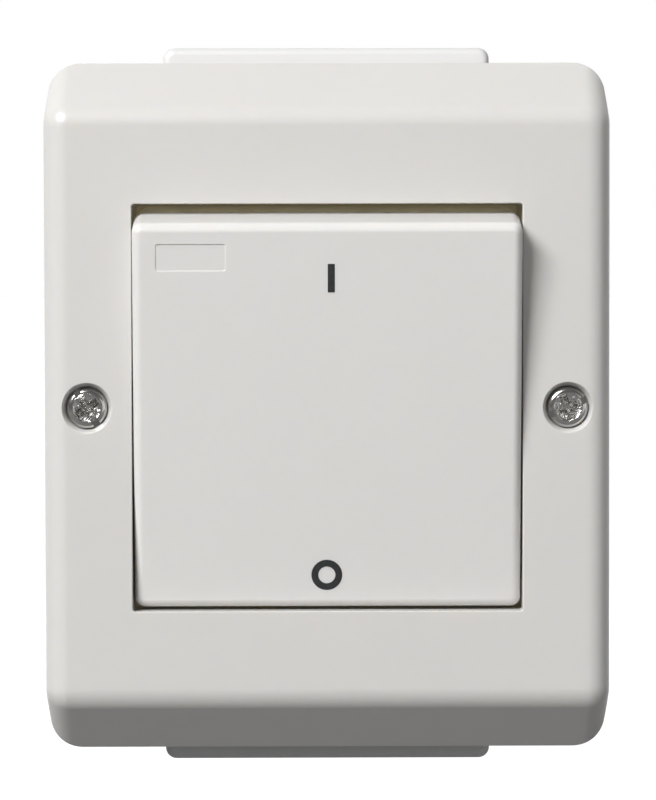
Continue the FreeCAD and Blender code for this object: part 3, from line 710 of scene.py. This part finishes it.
def make_rocker():
    """The hollow rocker with the shallow recess of a plaque."""
    rings = []
    for back, out in arc(rocker_edge_radius, 0, math.pi / 2, ARC_STEPS):
        rings.append(rocker_ring(rocker_edge_radius - out, rocker_edge_radius - back))
    rings.append(rocker_ring(0.0, rocker_wall_depth))
    rings.append(rocker_ring(rocker_wall, rocker_wall_depth))
    rings.append(rocker_ring(rocker_wall, rocker_face_thickness))
    rocker = skin("rocker_face", rings)
    face_y = -pivot_setback
    plaque = flared_mouth(plaque_width, plaque_height, plaque_corner_radius, plaque_edge_radius,
                          face_y, PLAQUE_EDGE_STEPS, plaque_x, plaque_z)
    plaque.append(rounded_rectangle(plaque_width - plaque_depth, plaque_height - plaque_depth,
                                    plaque_corner_radius, face_y + plaque_depth, plaque_x, plaque_z))
    cut(rocker, skin("tool", plaque))
    tilt_to_rest(rocker)
    smooth(rocker)
    place(rocker, "rocker", "rocker_plastic", "rocker_plate")


def make_marks():
    """The printed bar and ring on the rocker's face."""
    face_y = -pivot_setback
    bar = skin("mark_on", [rounded_rectangle(bar_width, bar_height, bar_corner_radius, y, bar_x, bar_z)
                           for y in (face_y - mark_thickness, face_y)])
    ring = lathe("mark_off", [(ring_radius, face_y), (ring_radius, face_y - mark_thickness)])
    cut(ring, lathe("tool", [(ring_bore_radius, face_y - PAST), (ring_bore_radius, face_y + PAST)]))
    ring.data.transform(Matrix.Translation((ring_x, 0, ring_z)))
    for mark in (bar, ring):
        tilt_to_rest(mark)
        smooth(mark)
        mark.data.materials.clear()
        mark.data.materials.append(materials["mark_ink"])
        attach(mark, "rocker")


# Cover screws

def head_profile():
    """The head from its centre outwards: a shallow dish, a rounded rim and a straight side."""
    crest_radius = head_radius - rim_width
    dish_radius = crest_radius - dish_slope_width
    profile = [(dish_radius / 2, dish_depth - head_height), (dish_radius, dish_depth - head_height)]
    for step in range(1, DISH_STEPS + 1):
        share = step / DISH_STEPS
        depth = dish_depth * (1 - ease(share))
        profile.append((dish_radius + dish_slope_width * share, depth - head_height))
    for out, up in arc(1.0, math.pi / 2, 0, RIM_STEPS)[1:]:
        profile.append((crest_radius + rim_width * out, rim_drop * (1 - up) - head_height))
    profile.append((head_radius, -head_edge_radius))
    profile.append((head_radius - head_edge_radius, 0))
    profile.append((shaft_radius, 0))
    profile.append((shaft_radius, shaft_length))
    return profile


def make_screw(side):
    """A cover screw with a dished head, a slot and a cross."""
    name = "left" if side < 0 else "right"
    screw = lathe("cover_screw_" + name + "_detail", head_profile())
    above = -head_height - PAST
    cut(screw, block("tool", 2 * head_radius + PAST, slot_width, above, slot_depth - head_height))
    cross_sections = [(1.0, above), (1.0, -head_height), (cross_foot, cross_depth - head_height)]
    for width, height in ((cross_width, cross_length), (cross_length, cross_width)):
        cut(screw, skin("tool", [rounded_rectangle(share * width, share * height, 0, y, steps=1)
                                 for share, y in cross_sections]))
    cut(screw, lathe("tool", [(cup_radius, above), (cup_radius, dish_depth - head_height),
                              (cross_foot * cup_radius, cup_depth - head_height)]))
    turn = left_screw_turn if side < 0 else right_screw_turn
    place_on_seal = Matrix.Translation((side * screw_x, seal_low.y, 0))
    screw.data.transform(place_on_seal @ Matrix.Rotation(turn, 4, "Y"))
    worn = screw.modifiers.new("worn edges", "BEVEL")
    worn.width = edge_wear
    worn.segments = 2
    worn.limit_method = "ANGLE"
    worn.angle_limit = wear_angle
    smooth(screw)
    place(screw, "base", "screw_steel", "cover_screw_" + name)


# Boot

def boot_sections(foot_y, peak_y):
    """Outer and inner (width, height, y) of the boot, from its foot to its peak.

    A skirt stands up along the collar, rolls over behind the rocker's walls and slopes to the neck.
    """
    top_y = pivot_y - pivot_setback + rocker_wall_depth + boot_roll_setback
    roll_y = top_y + boot_roll_radius
    roll_inset = boot_gap + boot_roll_radius
    inner_radius = boot_roll_radius - boot_thickness
    skirt = [(boot_gap, collar_end_y, boot_gap + boot_thickness, foot_y)]
    for step in range(1, SKIRT_STEPS):
        y = collar_end_y + (roll_y - collar_end_y) * step / SKIRT_STEPS
        skirt.append((boot_gap, y, boot_gap + boot_thickness, y))
    for across, up in arc(1.0, 0, math.pi / 2, ARC_STEPS):
        skirt.append((roll_inset - boot_roll_radius * across, roll_y - boot_roll_radius * up,
                      roll_inset - inner_radius * across, roll_y - inner_radius * up))
    sections = []
    for inset, y, inner_inset, inner_y in skirt:
        sections.append(((opening_width - 2 * inset, opening_height - 2 * inset, y),
                         (opening_width - 2 * inner_inset, opening_height - 2 * inner_inset, inner_y)))
    start_width, start_height, start_y = sections[-1][0]
    for step in range(1, HOOD_STEPS + 1):
        share = step / HOOD_STEPS
        width = start_width + (boot_peak_width - start_width) * share
        height = start_height + (boot_peak_height - start_height) * share
        y = start_y + (peak_y - start_y) * share
        sections.append(((width, height, y), (width, height, y + boot_thickness)))
    return sections


def make_boot():
    """The soft hood between the cover's collar and the rocker's neck, level first and then bent to rest."""
    foot_y = clamp_low.y
    peak_y = pivot_y - boot_peak_lift
    flange_width = 2 * clamp_high.x
    flange_height = 2 * clamp_high.z
    rings = [rounded_rectangle(flange_width, flange_height, boot_flange_radius, foot_y),
             rounded_rectangle(flange_width, flange_height, boot_flange_radius, collar_end_y)]
    sections = boot_sections(foot_y, peak_y)
    for (width, height, y), _ in sections:
        rings.append(rounded_rectangle(width, height, boot_corner_radius, y))
    for y in (peak_y, peak_y + boot_thickness):
        rings.append(rounded_rectangle(boot_lip_width, boot_lip_height, boot_lip_radius, y))
    for _, (width, height, y) in reversed(sections):
        rings.append(rounded_rectangle(width, height, boot_corner_radius, y))
    vertices = [point for ring in rings for point in ring]
    boot = add_mesh("rocker_boot_soft", vertices, bands(rings, closed=True))
    pivot = Vector((0, pivot_y, 0))
    for vertex in boot.data.vertices:
        share = (vertex.co.y - collar_end_y) / (peak_y + boot_thickness - collar_end_y)
        weight = ease(min(max(share, 0.0), 1.0))
        vertex.co = pivot + Matrix.Rotation(weight * rest_tilt, 3, "X") @ (vertex.co - pivot)
    smooth(boot, boot_sharp_angle)
    boot.data.materials.append(materials["boot_rubber"])
    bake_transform(boot)
    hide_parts("rocker_boot")


# Surroundings that show white but light the switch only a little

def choose(nodes, links, flag, otherwise, chosen):
    """One of two strengths, each a number or a socket, by a flag of nothing or one."""
    change = nodes.new("ShaderNodeMapRange")
    links.new(flag, change.inputs["Value"])
    for name, value in (("To Min", otherwise), ("To Max", chosen)):
        if isinstance(value, float):
            change.inputs[name].default_value = value
        else:
            links.new(value, change.inputs[name])
    return change.outputs["Result"]


def seen_strength(nodes, links, seen, mirrored, otherwise):
    """One strength for rays from the camera or a clear material, one for mirrored and one for others."""
    rays = nodes.new("ShaderNodeLightPath")
    unseen = choose(nodes, links, rays.outputs["Is Glossy Ray"], otherwise, mirrored)
    through = choose(nodes, links, rays.outputs["Is Transmission Ray"], unseen, seen)
    return choose(nodes, links, rays.outputs["Is Camera Ray"], through, seen)


def room_ahead_and_behind(nodes, links, way, reach):
    """The room's brightness in a mirror: dim before and beside the switch, white from a reach behind it."""
    parts = nodes.new("ShaderNodeSeparateXYZ")
    links.new(way, parts.inputs["Vector"])
    return spread_range(nodes, links, parts.outputs["Y"], front_room, 1.0, 0.0, reach)


# Floor

def make_floor():
    """A pale floor below the switch that shows white to the camera but keeps the switch's shadow."""
    z = -half_height - floor_drop
    reach = floor_size / 2
    corners = [(-reach, -reach, z), (reach, -reach, z), (reach, reach, z), (-reach, reach, z)]
    floor = add_mesh("floor", corners, [[0, 1, 2, 3]])
    material, nodes, links, shader = node_material("floor")
    shader.inputs["Base Color"].default_value = tint(floor_colour)
    shader.inputs["Roughness"].default_value = floor_roughness
    shader.inputs["Emission Color"].default_value = tint(white)
    spot = nodes.new("ShaderNodeTexCoord")
    distance = nodes.new("ShaderNodeVectorMath")
    distance.operation = "LENGTH"
    links.new(spot.outputs["Object"], distance.inputs[0])
    glow = spread_range(nodes, links, distance.outputs["Value"], floor_glow_near, 1.0,
                        floor_glow_near_radius, floor_glow_far_radius)
    mirrored = room_ahead_and_behind(nodes, links, spot.outputs["Object"], floor_glow_far_radius)
    links.new(seen_strength(nodes, links, glow, mirrored, 0.0), shader.inputs["Emission Strength"])
    floor.data.materials.append(material)


# Camera, lamps and room

def add_camera():
    """The camera at the photograph's place, looking at the middle of the cover's front."""
    centre = Vector((0, front_y, 0))
    level = math.cos(camera_elevation)
    back = Vector((math.sin(camera_azimuth) * level,
                   -math.cos(camera_azimuth) * level,
                   math.sin(camera_elevation)))
    data = bpy.data.cameras.new("camera")
    data.sensor_fit = "VERTICAL"
    data.sensor_height = sensor_height
    data.lens = focal_pixels * sensor_height / photo_height
    data.clip_start = nearest_seen
    data.clip_end = farthest_seen
    camera = bpy.data.objects.new("camera", data)
    bpy.context.scene.collection.objects.link(camera)
    camera.location = centre + camera_distance * back
    aim = (-back).to_track_quat("-Z", "Y").to_matrix().to_4x4()
    tip = Matrix.Rotation(math.atan((centre_v - photo_height / 2) / focal_pixels), 4, "X")
    swing = Matrix.Rotation(math.atan((centre_u - photo_width / 2) / focal_pixels), 4, "Y")
    turn = Matrix.Rotation(camera_roll, 4, "Z")
    camera.matrix_world = Matrix.Translation(camera.location) @ aim @ tip @ swing @ turn
    bpy.context.scene.camera = camera


def add_area(name, towards, distance, width, height, watts):
    """A soft box that faces the switch from a direction."""
    data = bpy.data.lights.new(name, "AREA")
    data.shape = "RECTANGLE"
    data.size = width
    data.size_y = height
    data.energy = watts
    lamp = bpy.data.objects.new(name, data)
    bpy.context.scene.collection.objects.link(lamp)
    direction = Vector(towards).normalized()
    lamp.location = Vector((0, front_y, 0)) + distance * direction
    lamp.rotation_euler = (-direction).to_track_quat("-Z", "Y").to_euler()
    return lamp


def add_world():
    """A white room that lights the switch only a little."""
    world = bpy.data.worlds.new("studio")
    bpy.context.scene.world = world
    world.use_nodes = True
    nodes = world.node_tree.nodes
    links = world.node_tree.links
    background = nodes["Background"]
    background.inputs["Color"].default_value = tint(white)
    way = nodes.new("ShaderNodeTexCoord")
    mirrored = room_ahead_and_behind(nodes, links, way.outputs["Generated"], room_reach)
    links.new(seen_strength(nodes, links, 1.0, mirrored, room_light), background.inputs["Strength"])


def add_lights():
    """A key lamp from the upper left, two weak fills, and one behind that only lights the hidden side."""
    add_area("key", key_direction, key_distance, key_width, key_height, key_power)
    add_area("side", side_direction, fill_distance, fill_width, fill_width, side_power)
    add_area("front", front_direction, fill_distance, fill_width, fill_width, front_power)
    back = add_area("back", back_direction, back_distance, fill_width, fill_width, back_power)
    back.visible_camera = False
    back.visible_glossy = False


dress_cad_nodes()
make_cover()
make_rocker()
make_marks()
for side in (-1, 1):
    make_screw(side)
make_boot()
make_floor()
add_camera()
add_lights()
add_world()
bpy.context.scene.view_settings.view_transform = "Standard"
